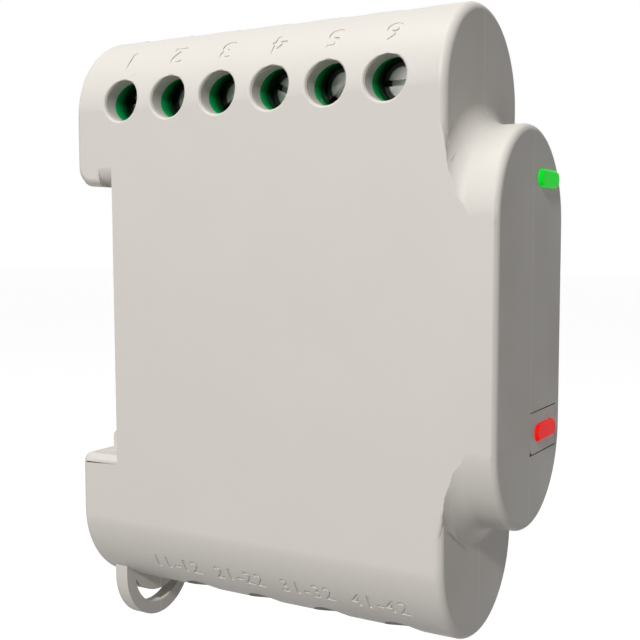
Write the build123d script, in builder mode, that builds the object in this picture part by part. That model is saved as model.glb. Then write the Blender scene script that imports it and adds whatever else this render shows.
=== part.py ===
"""Smart three-phase energy meter for a 35 mm rail, as separate pieces.

Frame: X runs across the rail, the front faces -Y, +Z is up, and the origin is the centre of the
seat that rests on the rail.  The left side (-X) has the screwdriver holes.  All sizes are in mm.
"""
import os
from math import cos, pi, sin

from build123d import *

os.makedirs("parts", exist_ok=True)

# Housing outline: a stadium across X and Z, carried along Y, with a smaller raised front.
END_RADIUS = 11.0
FLANK = 10.985
TOP_CENTRE = 26.5
BOTTOM_CENTRE = -25.2
SHOULDER = 46.3
FRONT = 52.3
LUG_DEPTH = 6.1
RAISED_TOP = 12.6
RAISED_BOTTOM = -11.5
COVE = 2.6
COVE_FACETS = 3
WALL = 2.0
INNER_RADIUS = END_RADIUS - WALL
SHOULDER_EDGE = 0.6
FRONT_EDGE = 0.5
BACK_EDGE = 0.7
UPPER_LUG_ROUND = 2.6
LOWER_LUG_ROUND = 1.2
RELIEF_ROUND = 2.6
RELIEF_WIDTH = 2.2

# Rail seat: a 35 mm top-hat rail lies in the slot, under a fixed lip above and the clip below.
SLOT_HALF = 17.6
LIP_BOTTOM = 16.3
LIP_FRONT = 1.25
LIP_BACK = 3.0
LIP_HALF_WIDTH = 7.2
SEAT_RELIEF = 0.3

# Terminals: six poles in a row along Y, screws from the left, wires from the top.
POLES = 6
POLE_PITCH = 7.5
FIRST_POLE = -1.5
POLE_HEIGHT = 28.3
POLE_Y = [FIRST_POLE - POLE_PITCH * i for i in range(POLES)]
SCREW_HOLE_RADIUS = 2.6
GUIDE_HALF = 3.0
GUIDE_GAP = 0.05
GUIDE_COVER = 0.4
GUIDE_RIGHT = -7.5
WIRE_HOLE_X = 7.0
WIRE_HOLE_Y = 5.4
WIRE_HOLE_CENTRE = -0.2
WIRE_HOLE_ROUND = 2.0
BLOCK_LEFT = -8.4
BLOCK_BOTTOM = 20.4
BLOCK_TOP = 34.0
BLOCK_RADIUS = 8.7
BLOCK_BACK = 2.25
BLOCK_FRONT = -42.75
HEAD_RADIUS = 2.33
HEAD_FACE = -6.1
HEAD_BACK = -4.8
SEAT_TOP = -6.9
SHANK_RADIUS = 1.5
SHANK_END = -0.6
CHAMBER_LEFT = -4.2
CHAMBER_RIGHT = 3.6
CHAMBER_BOTTOM = 25.5
CHAMBER_TOP = 31.1
FUNNEL_HALF = 2.4
BAR_LEFT = -0.5
BAR_RIGHT = 0.3

# Current sensor sockets: four round jacks in a row along the bottom.
SOCKETS = 4
SOCKET_PITCH = 9.74
FIRST_SOCKET = -9.6
SOCKET_Y = [FIRST_SOCKET - SOCKET_PITCH * i for i in range(SOCKETS)]
SOCKET_X = -4.3
SOCKET_HOLE_RADIUS = 2.5
NOSE_RADIUS = 2.45
NOSE_END = -33.6
JACK_RADIUS = 1.8
JACK_DEPTH = 14.0

# Boards: the main board lies on the right, the logic board on the left.
BOARD_X = 4.3
BOARD_BACK = 5.9
LOGIC_X = -8.4
LOGIC_FACE = -7.2
POST_PLACES = [(-41.8, 18.2), (-5.0, 18.2), (-41.8, -4.0), (-5.0, -4.0)]
PIN_PLACES = [POST_PLACES[0], POST_PLACES[3]]
POST_RADIUS = 1.7
PIN_RADIUS = 0.95
PIN_HOLE_RADIUS = 1.0
HEADER_PINS = 6
HEADER_PITCH = 2.54
HEADER_Z = -9.5
HEADER_Y = [-12.9 - HEADER_PITCH * i for i in range(HEADER_PINS)]

# Front: a green light pipe, and a reset key that carries a red one.
LENS_LENGTH = 6.7
LENS_HEIGHT = 2.05
LENS_X = 4.95
LENS_PROUD = 0.4
LENS_POCKET = 1.4
GREEN_Z = 17.7
RED_Z = -11.7
ROD_X = 5.1
ROD_RADIUS = 0.95
GREEN_ROD_END = -47.2
RED_ROD_END = -47.5
KEY_LEFT = 0.12
KEY_RIGHT = 9.0
KEY_TOP = -9.2
KEY_BOTTOM = -14.0
KEY_GAP = 0.15
KEY_STEM_X = 2.6
KEY_STEM_END = -46.65

# Rail clip: a flat slider in the lower lug, with a pull loop under the housing.
CLIP_HALF_WIDTH = 7.08
CLIP_FRONT = 1.8
CLIP_BACK = 3.8
CLIP_TOP = -14.8
CLIP_GAP = 0.1
LOOP_CENTRE = -35.06
LOOP_INNER_RADIUS = 5.38
LOOP_LIP_RADIUS = 6.5
LOOP_LIP_BOTTOM = -38.65
WINDOW_HALF = 2.2
WINDOW_BOTTOM = -33.0
SPRING_TOP = -20.5
SPRING_BOTTOM = -29.7
SPRING_RADIUS = 1.72
SPRING_WIRE = 0.45
SPRING_Y = (CLIP_FRONT + CLIP_BACK) / 2

# Output relay on the main board.
RELAY_Y = (-21.0, -3.0)
RELAY_Z = (5.0, 15.0)
RELAY_TOP = -7.7
RELAY_WALL = 0.6
COIL_Y = -8.4
COIL_Z = 10.0


def box(x, y, z, mode=Mode.ADD):
    """Box between two limits on each axis."""
    with Locations(((x[0] + x[1]) / 2, (y[0] + y[1]) / 2, (z[0] + z[1]) / 2)):
        Box(x[1] - x[0], y[1] - y[0], z[1] - z[0], mode=mode)


def rod_x(start, end, radius, y, z, mode=Mode.ADD):
    """Round bar or bore along X."""
    with Locations(Pos((start + end) / 2, y, z) * Rot(0, 90, 0)):
        Cylinder(radius, abs(end - start), mode=mode)


def rod_y(start, end, radius, x, z, mode=Mode.ADD):
    """Round bar or bore along Y."""
    with Locations(Pos(x, (start + end) / 2, z) * Rot(90, 0, 0)):
        Cylinder(radius, abs(end - start), mode=mode)


def rod_z(start, end, radius, x, y, mode=Mode.ADD):
    """Round bar or bore along Z."""
    with Locations((x, y, (start + end) / 2)):
        Cylinder(radius, abs(end - start), mode=mode)


def upright_slot(top, bottom, radius):
    """Stadium outline with its long axis upright, on the XZ plane."""
    with Locations((0, (top + bottom) / 2)):
        SlotCenterToCenter(top - bottom, 2 * radius, rotation=90)


def prism(back, front, top, bottom, radius, mode=Mode.ADD):
    """Stadium solid from Y = back to Y = -front."""
    with BuildSketch(Plane.XZ.offset(-back)) as profile:
        upright_slot(top, bottom, radius)
    extrude(profile.sketch, amount=back + front, mode=mode)


def cove(centre, up, inset):
    """Concave sweep where a round end of the raised front meets the shoulder."""
    floor = inset - SHOULDER
    radius = END_RADIUS - inset
    sweep = [
        (floor - COVE * (1 - cos(turn)), centre + up * (radius + COVE * (1 - sin(turn))))
        for turn in (pi * step / 2 / COVE_FACETS for step in range(COVE_FACETS + 1))
    ]
    with BuildSketch(Plane.YZ) as profile:
        with BuildLine():
            Polyline(*sweep, (sweep[-1][0], centre), (floor + 2, centre),
                     (floor + 2, sweep[0][1]), close=True)
        make_face()
    revolve(profile.sketch, axis=Axis((0, 0, centre), (0, 1, 0)))


def housing_form(inset=0.0):
    """Body and raised front joined by coves, drawn in from the surface by inset."""
    half = END_RADIUS - inset
    with BuildPart() as coves:
        cove(RAISED_TOP, 1, inset)
        cove(RAISED_BOTTOM, -1, inset)
        box((-half, half), (-60, 0), (-60, 60), Mode.INTERSECT)
    with BuildPart() as form:
        prism(LUG_DEPTH - inset, SHOULDER - inset, TOP_CENTRE, BOTTOM_CENTRE, half)
        prism(0, FRONT - inset, RAISED_TOP, RAISED_BOTTOM, half)
        add(coves.part)
    return form.part


def lens_pill(y, z, reach, grow=0.0, mode=Mode.ADD):
    """Round-ended bar of a light pipe, from Y = y towards the back."""
    with BuildSketch(Plane.XZ.offset(-y)) as profile:
        with Locations((LENS_X, z)):
            SlotOverall(LENS_LENGTH + 2 * grow, LENS_HEIGHT + 2 * grow)
    extrude(profile.sketch, amount=-reach, mode=mode)


def screw_guides(grow=0.0):
    """Square guides in the left wall, one for each screw, that end under a thin cover of it."""
    half = GUIDE_HALF + grow
    with BuildPart() as guides:
        for y in POLE_Y:
            box((-12, GUIDE_RIGHT), (y - half, y + half),
                (POLE_HEIGHT - half, POLE_HEIGHT + half))
        prism(5, 50, TOP_CENTRE, BOTTOM_CENTRE, END_RADIUS - GUIDE_COVER + grow, Mode.INTERSECT)
    return guides.part


def save(piece, name):
    piece.part.label = name
    export_step(piece.part, "parts/" + name + ".step")


# Outside of the housing before it is parted: rounded rims, rail slot and lug corners.
with BuildPart() as outside:
    add(housing_form())
    shoulder_rim = [
        e for e in outside.edges().filter_by_position(Axis.Y, -SHOULDER - 0.01, 0.01 - SHOULDER)
        if abs(e.center().X) > END_RADIUS - 0.1 or abs(e.center().Z) > TOP_CENTRE
    ]
    chamfer(shoulder_rim, SHOULDER_EDGE)
    chamfer(outside.faces().sort_by(Axis.Y)[0].edges(), FRONT_EDGE)
    box((-12, 12), (0, 7), (-SLOT_HALF, SLOT_HALF), Mode.SUBTRACT)
    lug_corners = outside.edges().filter_by(Axis.X).filter_by_position(
        Axis.Y, LUG_DEPTH - 0.1, LUG_DEPTH + 0.1).sort_by(Axis.Z)
    fillet(lug_corners[-1], UPPER_LUG_ROUND)
    fillet(lug_corners[0], LOWER_LUG_ROUND)
    back_faces = outside.faces().filter_by(Axis.Y).filter_by_position(
        Axis.Y, LUG_DEPTH - 0.01, LUG_DEPTH + 0.01)
    back_rims = [e for e in back_faces.edges() if e.bounding_box().size.Z > 1]
    chamfer(back_rims, BACK_EDGE)
    box((-FLANK, FLANK), (-60, 10), (-60, 60), Mode.INTERSECT)

# Rounded relief in the near face of the upper lug, beside the rail slot.
with BuildPart() as lug_relief:
    box((-12, RELIEF_ROUND - FLANK), (0, RELIEF_WIDTH), (SLOT_HALF - 1, SLOT_HALF + RELIEF_ROUND))
    rod_y(-1, RELIEF_WIDTH + 1, RELIEF_ROUND, RELIEF_ROUND - FLANK, SLOT_HALF + RELIEF_ROUND,
          Mode.SUBTRACT)

# Space inside both shells: main cavity, raised front, and a recess in the upper lug.
with BuildPart() as cavity:
    prism(-WALL, SHOULDER - WALL, TOP_CENTRE, BOTTOM_CENTRE, INNER_RADIUS)
    prism(-WALL, FRONT - WALL, RAISED_TOP, RAISED_BOTTOM, INNER_RADIUS)
    with BuildPart(mode=Mode.PRIVATE) as lug_recess:
        prism(LUG_DEPTH - WALL, WALL + 1, TOP_CENTRE, BOTTOM_CENTRE, INNER_RADIUS)
        box((-12, 12), (-10, 10), (SLOT_HALF + WALL, 60), Mode.INTERSECT)
    add(lug_recess.part)

# What is cut through the walls: screw holes, wire entries, sensor sockets and the clip's way.
with BuildPart() as cuts:
    for y in POLE_Y:
        rod_x(-12, BLOCK_LEFT, SCREW_HOLE_RADIUS, y, POLE_HEIGHT)
    add(screw_guides(GUIDE_GAP))
    with BuildSketch(Plane.XY.offset(BLOCK_TOP - 2)):
        with Locations([(WIRE_HOLE_CENTRE, y) for y in POLE_Y]):
            RectangleRounded(WIRE_HOLE_X, WIRE_HOLE_Y, WIRE_HOLE_ROUND)
    extrude(amount=6)
    for y in SOCKET_Y:
        rod_z(-38, -29, SOCKET_HOLE_RADIUS, SOCKET_X, y)
    way = CLIP_HALF_WIDTH + CLIP_GAP
    box((-way, way), (CLIP_FRONT - CLIP_GAP, CLIP_BACK + CLIP_GAP), (-40, -15))
    box((-WINDOW_HALF, WINDOW_HALF), (0.8, 4.8), (SPRING_BOTTOM, SPRING_TOP + 0.3))
    lip_way = LIP_HALF_WIDTH + SEAT_RELIEF
    box((-lip_way, lip_way), (-SEAT_RELIEF, 0.1), (LIP_BOTTOM - 0.2, SLOT_HALF))
    box((-lip_way, lip_way), (-SEAT_RELIEF, 0.1), (-SLOT_HALF, CLIP_TOP + 0.2))


def shell_half(keep):
    """One half of the housing with its walls, lip, spring shelf and openings."""
    with BuildPart() as half:
        add(outside.part)
        add(cavity.part, mode=Mode.SUBTRACT)
        box((-LIP_HALF_WIDTH, LIP_HALF_WIDTH), (LIP_FRONT, LIP_BACK), (LIP_BOTTOM, 18.5))
        add(cuts.part, mode=Mode.SUBTRACT)
        box((-1.8, 1.8), (1.7, 3.9), (SPRING_BOTTOM - 1.3, SPRING_BOTTOM))
        split(bisect_by=Plane.YZ, keep=keep)
    return half.part


# Left shell: screw holes, ribbed posts, pads for the logic board, and a shelf.
with BuildPart() as left_shell:
    add(shell_half(Keep.BOTTOM))
    add(lug_relief.part, mode=Mode.SUBTRACT)
    for y, z in POST_PLACES:
        rod_x(-9.5, BOARD_X - 0.05, POST_RADIUS, y, z)
        box((-9.5, -2.0), (y - 0.5, y + 0.5), (z - 2.9, z + 1.6))
    for y, z in PIN_PLACES:
        rod_x(2.0, BOARD_X, PIN_HOLE_RADIUS, y, z, Mode.SUBTRACT)
    box((-9.5, -3.0), (-42.5, 1.5), (19.5, 20.3))
    for y in (-40.5, -6.5):
        box((-9.5, LOGIC_X), (y - 1.0, y + 1.0), (-28.0, -8.0))
save(left_shell, "left_shell")

# Right shell: openings for the light pipe and the reset key, posts with pins for the boards.
with BuildPart() as right_shell:
    add(shell_half(Keep.TOP))
    for y, z in POST_PLACES:
        rod_x(9.5, BOARD_BACK, POST_RADIUS, y, z)
    for y, z in PIN_PLACES:
        rod_x(BOARD_BACK + 0.5, 3.0, PIN_RADIUS, y, z)
    box((BOARD_BACK, 9.5), (-42.5, -3.0), (19.0, 19.8))
    box((BOARD_BACK, 9.5), (-42.5, -3.0), (-20.4, -19.6))
    lens_pill(-FRONT - 1, GREEN_Z, 1 + LENS_POCKET, 0.03, Mode.SUBTRACT)
    rod_y(-FRONT, -49, ROD_RADIUS + 0.05, ROD_X, GREEN_Z, Mode.SUBTRACT)
    with BuildSketch(Plane.XZ.offset(FRONT + 1)):
        with Locations(((KEY_RIGHT + KEY_GAP) / 2, (KEY_TOP + KEY_BOTTOM) / 2)):
            Rectangle(KEY_RIGHT + KEY_GAP, KEY_TOP - KEY_BOTTOM + 2 * KEY_GAP)
    extrude(amount=-3.8, mode=Mode.SUBTRACT)
save(right_shell, "right_shell")

# Terminal block: round-topped moulding with six screw guides, funnels, chambers and bar ways.
with BuildPart() as terminal_block:
    with BuildSketch(Plane.XZ.offset(-BLOCK_BACK)):
        with Locations((0, TOP_CENTRE)):
            Circle(BLOCK_RADIUS)
        with Locations(((BLOCK_LEFT + BOARD_X) / 2, (BLOCK_BOTTOM + TOP_CENTRE) / 2)):
            Rectangle(BOARD_X - BLOCK_LEFT, TOP_CENTRE - BLOCK_BOTTOM)
        with Locations(((BLOCK_LEFT + BOARD_X) / 2, (BLOCK_BOTTOM + BLOCK_TOP) / 2)):
            Rectangle(BOARD_X - BLOCK_LEFT, BLOCK_TOP - BLOCK_BOTTOM, mode=Mode.INTERSECT)
    extrude(amount=BLOCK_BACK - BLOCK_FRONT)
    add(screw_guides())
    for y in POLE_Y:
        rod_x(-12, SEAT_TOP, SCREW_HOLE_RADIUS, y, POLE_HEIGHT, Mode.SUBTRACT)
        rod_x(-7, HEAD_BACK + 0.05, HEAD_RADIUS + 0.08, y, POLE_HEIGHT, Mode.SUBTRACT)
        rod_x(-6, CHAMBER_LEFT + 0.1, SHANK_RADIUS + 0.08, y, POLE_HEIGHT, Mode.SUBTRACT)
        box((CHAMBER_LEFT, CHAMBER_RIGHT), (y - 2.75, y + 2.75),
            (CHAMBER_BOTTOM, CHAMBER_TOP), Mode.SUBTRACT)
        box((BAR_LEFT - 0.1, BAR_RIGHT + 0.1), (y - 1.8, y + 1.8),
            (BLOCK_BOTTOM, CHAMBER_BOTTOM + 0.1), Mode.SUBTRACT)
        box((BAR_LEFT - 0.1, BOARD_X), (y - 0.7, y + 0.7), (BLOCK_BOTTOM, 22.3), Mode.SUBTRACT)
        with BuildSketch(Plane.XZ.offset(-y - FUNNEL_HALF)):
            with BuildLine():
                Polyline((-0.7, CHAMBER_TOP - 0.1), (3.3, CHAMBER_TOP - 0.1),
                         (3.2, BLOCK_TOP + 0.1), (-3.2, BLOCK_TOP + 0.1), close=True)
            make_face()
        extrude(amount=2 * FUNNEL_HALF, mode=Mode.SUBTRACT)
save(terminal_block, "terminal_block")

# Terminal screws: flat round head with a slot, and a plain shank.
for number, y in enumerate(POLE_Y, start=1):
    with BuildPart() as terminal_screw:
        rod_x(HEAD_FACE, HEAD_BACK, HEAD_RADIUS, y, POLE_HEIGHT)
        rod_x(HEAD_BACK - 0.1, SHANK_END, SHANK_RADIUS, y, POLE_HEIGHT)
        box((HEAD_FACE - 0.1, HEAD_FACE + 0.8), (y - 2.4, y + 2.4),
            (POLE_HEIGHT - 0.35, POLE_HEIGHT + 0.35), Mode.SUBTRACT)
    save(terminal_screw, f"terminal_screw_{number}")

# Rising clamps: a square collar whose thick wall is the nut, drawn up against the bar.
for number, y in enumerate(POLE_Y, start=1):
    with BuildPart() as wire_clamp:
        box((-2.2, 3.4), (y - 2.6, y + 2.6), (25.8, 30.8))
        chamfer(wire_clamp.edges().filter_by(Axis.Z), 0.4)
        box((-1.0, 2.7), (y - 1.9, y + 1.9), (25, 32), Mode.SUBTRACT)
        rod_x(-3, -0.9, SHANK_RADIUS + 0.06, y, POLE_HEIGHT, Mode.SUBTRACT)
    save(wire_clamp, f"wire_clamp_{number}")

# Contact bars: each stands behind its wire, then runs through the main board.
with BuildPart() as contact_bars:
    for y in POLE_Y:
        box((BAR_LEFT, BAR_RIGHT), (y - 1.7, y + 1.7), (21.4, 30.6))
        box((BAR_LEFT, 7.0), (y - 0.6, y + 0.6), (21.4, 22.2))
save(contact_bars, "contact_bars")

# Main board: tall, with a tongue into the raised front and one under the last terminal.
with BuildPart() as main_board:
    with BuildSketch(Plane.YZ.offset(BOARD_X)):
        with BuildLine():
            Polyline((-43.8, -31.7), (-2.4, -31.7), (-2.4, 20.2), (2.2, 20.2), (2.2, 33.0),
                     (-43.8, 33.0), (-43.8, 19.0), (-46.0, 19.0), (-46.0, -18.0),
                     (-43.8, -18.0), close=True)
        make_face()
        with Locations(PIN_PLACES):
            Circle(PIN_HOLE_RADIUS, mode=Mode.SUBTRACT)
        with Locations([(y, 21.8) for y in POLE_Y]):
            Rectangle(1.4, 1.0, mode=Mode.SUBTRACT)
        with Locations([(y, HEADER_Z) for y in HEADER_Y]):
            Rectangle(0.8, 0.8, mode=Mode.SUBTRACT)
        with Locations((-4.6, 7.2), (-4.6, 12.8), (-19.5, 10.0), (-15.7, 7.6)):
            Rectangle(1.0, 1.0, mode=Mode.SUBTRACT)
    extrude(amount=BOARD_BACK - BOARD_X)
save(main_board, "main_board")

# Logic board: carries the sensor sockets, the radio and the metering chip.
with BuildPart() as logic_board:
    with BuildSketch(Plane.YZ.offset(LOGIC_X)):
        with Locations((-23.25, -17.5)):
            RectangleRounded(40.5, 21.0, 1.0)
        with Locations([(y, HEADER_Z) for y in HEADER_Y]):
            Rectangle(0.8, 0.8, mode=Mode.SUBTRACT)
        with Locations([(y, z) for y in SOCKET_Y for z in (-20.5, -23.7, -26.9)]):
            Rectangle(0.9, 0.9, mode=Mode.SUBTRACT)
    extrude(amount=LOGIC_FACE - LOGIC_X)
save(logic_board, "logic_board")

# Sensor sockets: square body with a round nose in the wall and a blind round bore.
for number, y in enumerate(SOCKET_Y, start=1):
    with BuildPart() as sensor_socket:
        box((LOGIC_FACE, -1.4), (y - 2.9, y + 2.9), (-30.2, -18.2))
        rod_z(-30.1, NOSE_END, NOSE_RADIUS, SOCKET_X, y)
        rod_z(NOSE_END - 0.1, NOSE_END + JACK_DEPTH, JACK_RADIUS, SOCKET_X, y, Mode.SUBTRACT)
    save(sensor_socket, f"sensor_socket_{number}")

# Socket pins: three tails from each socket through the logic board.
with BuildPart() as socket_pins:
    for y in SOCKET_Y:
        for z in (-20.5, -23.7, -26.9):
            box((LOGIC_X - 0.3, LOGIC_FACE), (y - 0.35, y + 0.35), (z - 0.35, z + 0.35))
save(socket_pins, "socket_pins")

# Header between the boards: strip, socket and pins.
with BuildPart() as header_strip:
    box((LOGIC_FACE, -4.7), (-26.9, -11.6), (HEADER_Z - 1.25, HEADER_Z + 1.25))
    for y in HEADER_Y:
        box((-8, -4), (y - 0.3, y + 0.3), (HEADER_Z - 0.3, HEADER_Z + 0.3), Mode.SUBTRACT)
save(header_strip, "header_strip")

with BuildPart() as header_socket:
    box((-4.2, BOARD_X), (-26.9, -11.6), (HEADER_Z - 1.25, HEADER_Z + 1.25))
    for y in HEADER_Y:
        box((-5, -0.6), (y - 0.4, y + 0.4), (HEADER_Z - 0.4, HEADER_Z + 0.4), Mode.SUBTRACT)
save(header_socket, "header_socket")

with BuildPart() as header_pins:
    for y in HEADER_Y:
        box((-8.7, -1.0), (y - 0.3, y + 0.3), (HEADER_Z - 0.3, HEADER_Z + 0.3))
        box((BOARD_X, 6.6), (y - 0.3, y + 0.3), (HEADER_Z - 0.3, HEADER_Z + 0.3))
save(header_pins, "header_pins")

# Radio, metering chip and crystal on the logic board.
with BuildPart() as radio_shield:
    box((LOGIC_FACE, -4.8), (-42.5, -29.5), (-17.4, -8.4))
    fillet(radio_shield.edges().filter_by(Axis.X), 0.8)
    box((LOGIC_FACE, -5.1), (-42.2, -29.8), (-17.1, -8.7), Mode.SUBTRACT)
save(radio_shield, "radio_shield")

with BuildPart() as metering_chip:
    box((LOGIC_FACE, -6.0), (-25.5, -18.5), (-17.6, -11.4))
    chamfer(metering_chip.faces().sort_by(Axis.X)[-1].edges(), 0.2)
save(metering_chip, "metering_chip")

with BuildPart() as crystal:
    box((LOGIC_FACE, -6.1), (-16.5, -12.0), (-16.0, -13.0))
    fillet(crystal.edges().filter_by(Axis.X), 0.8)
save(crystal, "crystal")

# Output relay: cover, base, coil on a yoke, rocking armature and contacts.
with BuildPart() as relay_case:
    box((RELAY_TOP, BOARD_X), RELAY_Y, RELAY_Z)
    fillet(relay_case.faces().sort_by(Axis.X)[0].edges(), 0.4)
    box((RELAY_TOP + RELAY_WALL, BOARD_X), (RELAY_Y[0] + RELAY_WALL, RELAY_Y[1] - RELAY_WALL),
        (RELAY_Z[0] + RELAY_WALL, RELAY_Z[1] - RELAY_WALL), Mode.SUBTRACT)
save(relay_case, "relay_case")

with BuildPart() as relay_base:
    box((3.2, BOARD_X), (RELAY_Y[0] + RELAY_WALL, RELAY_Y[1] - RELAY_WALL),
        (RELAY_Z[0] + RELAY_WALL, RELAY_Z[1] - RELAY_WALL))
save(relay_base, "relay_base")

with BuildPart() as relay_yoke:
    box((2.4, 3.2), (-13.2, -4.6), (7.0, 13.0))
    box((-5.2, 2.5), (-13.2, -12.4), (7.0, 13.0))
    rod_x(-4.9, 2.5, 1.2, COIL_Y, COIL_Z)
    rod_x(-4.9, -4.5, 2.2, COIL_Y, COIL_Z)
save(relay_yoke, "relay_yoke")

with BuildPart() as relay_coil:
    rod_x(-4.5, 2.4, 3.3, COIL_Y, COIL_Z)
    box((-4.5, -4.0), (COIL_Y - 3.6, COIL_Y + 3.6), (COIL_Z - 3.6, COIL_Z + 3.6))
    box((1.9, 2.4), (COIL_Y - 3.6, COIL_Y + 3.6), (COIL_Z - 3.6, COIL_Z + 3.6))
    rod_x(-5, 3, 1.25, COIL_Y, COIL_Z, Mode.SUBTRACT)
save(relay_coil, "relay_coil")

with BuildPart() as relay_armature:
    box((-5.9, -5.3), (-14.2, -5.5), (7.2, 12.8))
    box((-5.9, -0.5), (-14.2, -13.7), (9.0, 11.0))
    rod_y(-14.7, -14.1, 0.8, -1.4, COIL_Z)
save(relay_armature, "relay_armature")

with BuildPart() as relay_contacts:
    box((-2.6, 3.2), (-16.0, -15.5), (8.8, 11.2))
    rod_y(-15.6, -15.05, 0.8, -1.4, COIL_Z)
    box((0.4, 3.2), (-14.2, -13.7), (8.8, 11.2))
save(relay_contacts, "relay_contacts")

with BuildPart() as relay_pins:
    for y, z in ((-4.6, 7.2), (-4.6, 12.8), (-19.5, 10.0), (-15.7, 7.6)):
        box((BOARD_X, 7.0), (y - 0.4, y + 0.4), (z - 0.4, z + 0.4))
save(relay_pins, "relay_pins")

# Supply transformer: window-shaped core, winding on its middle leg, and a foot with pins.
with BuildPart() as transformer_core:
    with BuildSketch(Plane.XY.offset(6.8)):
        with Locations((-1.6, -32.0)):
            Rectangle(9.8, 14.0)
        with Locations((-1.6, -28.4), (-1.6, -35.6)):
            Rectangle(5.9, 3.0, mode=Mode.SUBTRACT)
    extrude(amount=6.4)
    chamfer(transformer_core.edges().filter_by(Axis.Z).sort_by(Axis.X)[:2], 0.6)
save(transformer_core, "transformer_core")

with BuildPart() as transformer_winding:
    box((-4.4, 1.2), (-36.9, -27.1), (4.6, 15.4))
    fillet(transformer_winding.edges().filter_by(Axis.X), 1.5)
    box((-5, 2), (-34.1, -29.9), (6.8, 13.2), Mode.SUBTRACT)
save(transformer_winding, "transformer_winding")

with BuildPart() as transformer_foot:
    box((3.3, BOARD_X), (-39.4, -24.6), (4.6, 15.4))
save(transformer_foot, "transformer_foot")

# Power parts of the main board.
with BuildPart() as capacitors:
    for y in (-33.0, -24.0):
        rod_x(-6.7, BOARD_X, 4.0, y, -1.2)
save(capacitors, "capacitors")

with BuildPart() as choke:
    rod_x(-3.7, BOARD_X, 3.0, -15.5, -1.2)
save(choke, "choke")

with BuildPart() as varistors:
    for y in (-13.0, -21.5, -30.0):
        rod_z(16.6, 19.4, 3.2, 0.9, y)
save(varistors, "varistors")

with BuildPart() as fusible_resistors:
    for z in (-14.0, -18.6, -23.2):
        rod_y(-40.0, -32.0, 1.5, 2.8, z)
save(fusible_resistors, "fusible_resistors")

with BuildPart() as rectifier:
    box((2.6, BOARD_X), (-28.0, -21.5), (-21.0, -15.0))
    chamfer(rectifier.faces().sort_by(Axis.X)[0].edges(), 0.3)
save(rectifier, "rectifier")

with BuildPart() as divider_resistors:
    for y in (-8.0, -12.0, -16.0):
        for z in (-18.0, -22.0, -26.0):
            box((3.7, BOARD_X), (y - 0.8, y + 0.8), (z - 1.6, z + 1.6))
save(divider_resistors, "divider_resistors")

# Front lights on the main board's edge.
with BuildPart() as front_leds:
    for z in (GREEN_Z, RED_Z):
        box((BOARD_X, BOARD_BACK), (-47.0, -46.0), (z - 0.8, z + 0.8))
save(front_leds, "front_leds")

# Light pipe: proud pill on the face, with a rod to its light.
with BuildPart() as light_pipe:
    lens_pill(-FRONT - LENS_PROUD, GREEN_Z, LENS_PROUD + LENS_POCKET)
    chamfer(light_pipe.faces().sort_by(Axis.Y)[0].edges(), 0.25)
    rod_y(-FRONT + 1, GREEN_ROD_END, ROD_RADIUS, ROD_X, GREEN_Z)
save(light_pipe, "light_pipe")

# Reset key: a plate level with the front, a wide flange behind the wall, and a pusher.
with BuildPart() as reset_key:
    box((KEY_LEFT, KEY_RIGHT), (-FRONT, -49.9), (KEY_BOTTOM, KEY_TOP))
    fillet(reset_key.edges().filter_by(Axis.Y).group_by(Axis.X)[0].sort_by(Axis.Z)[0], 0.9)
    box((-0.8, 8.2), (-50.2, -49.4), (-14.6, -8.6))
    rod_y(-49.5, KEY_STEM_END, 1.0, KEY_STEM_X, RED_Z)
    lens_pill(-FRONT - 1, RED_Z, 1 + LENS_POCKET, 0.02, Mode.SUBTRACT)
    rod_y(-FRONT, -49, ROD_RADIUS + 0.03, ROD_X, RED_Z, Mode.SUBTRACT)
save(reset_key, "reset_key")

with BuildPart() as key_lens:
    lens_pill(-FRONT - LENS_PROUD, RED_Z, LENS_PROUD + LENS_POCKET)
    chamfer(key_lens.faces().sort_by(Axis.Y)[0].edges(), 0.25)
    rod_y(-FRONT + 1, RED_ROD_END, ROD_RADIUS, ROD_X, RED_Z)
save(key_lens, "key_lens")

# Reset switch behind the key, with its own sprung plunger.
with BuildPart() as reset_switch:
    box((0.9, BOARD_X), (-45.6, -42.1), (-14.8, -8.6))
    box((KEY_STEM_X - 1, KEY_STEM_X + 1), (-46, -44.6), (RED_Z - 1.3, RED_Z + 1.3),
        Mode.SUBTRACT)
save(reset_switch, "reset_switch")

with BuildPart() as switch_plunger:
    box((KEY_STEM_X - 0.95, KEY_STEM_X + 0.95), (-46.6, -45.0), (RED_Z - 1.25, RED_Z + 1.25))
save(switch_plunger, "switch_plunger")

# Rail clip: slider plate with a spring window, a bevelled nose and a crescent pull loop.
with BuildPart() as rail_clip:
    with BuildSketch(Plane.XZ.offset(-CLIP_BACK)):
        with Locations((0, (CLIP_TOP + LOOP_CENTRE) / 2)):
            Rectangle(2 * CLIP_HALF_WIDTH, CLIP_TOP - LOOP_CENTRE)
        with Locations((0, LOOP_CENTRE)):
            Circle(CLIP_HALF_WIDTH)
        with Locations((0, (SPRING_TOP + WINDOW_BOTTOM) / 2)):
            Rectangle(2 * WINDOW_HALF, SPRING_TOP - WINDOW_BOTTOM, mode=Mode.SUBTRACT)
    extrude(amount=CLIP_BACK - CLIP_FRONT)
    chamfer(rail_clip.edges().filter_by(Axis.X).group_by(Axis.Z)[-1].sort_by(Axis.Y)[-1], 0.7)
    with BuildSketch(Plane.XZ.offset(-CLIP_BACK)) as crescent:
        with Locations((0, LOOP_CENTRE)):
            Circle(LOOP_INNER_RADIUS)
        with Locations((0, LOOP_LIP_BOTTOM + LOOP_LIP_RADIUS)):
            Circle(LOOP_LIP_RADIUS, mode=Mode.SUBTRACT)
    extrude(amount=CLIP_BACK - CLIP_FRONT, mode=Mode.SUBTRACT)
save(rail_clip, "rail_clip")

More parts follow.
